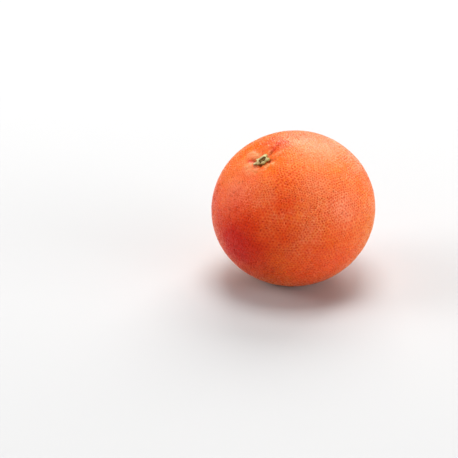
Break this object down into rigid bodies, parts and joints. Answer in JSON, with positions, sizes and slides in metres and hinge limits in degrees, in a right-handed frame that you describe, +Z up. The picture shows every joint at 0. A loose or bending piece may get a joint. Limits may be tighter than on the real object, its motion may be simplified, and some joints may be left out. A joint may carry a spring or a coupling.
{
  "type": "pomelo",
  "caption": "Whole citrus fruit with a pitted orange-red peel, a lobed green calyx in the stem hollow and a small flat spot to rest on.",
  "frame": {"origin": "middle of the small flat spot that the fruit rests on, straight under the fruit's middle", "axes": "+Z up, away from the surface it rests on; +X to the right and +Y away as seen from the front; the stem end leans 33 degrees from +Z towards -X and -Y"},
  "size_m": [0.1099, 0.1099, 0.1008],
  "materials": {
    "peel": "waxy, pitted rind, orange with a red blush, semi-gloss",
    "calyx": "pale green and cream, half dried, matte",
    "stem_scar": "dark brown, dry and fibrous, matte"
  },
  "bodies": {
    "root": {"fruit": "peel", "calyx": "calyx", "stem_scar": "stem_scar"}
  },
  "joints": []
}
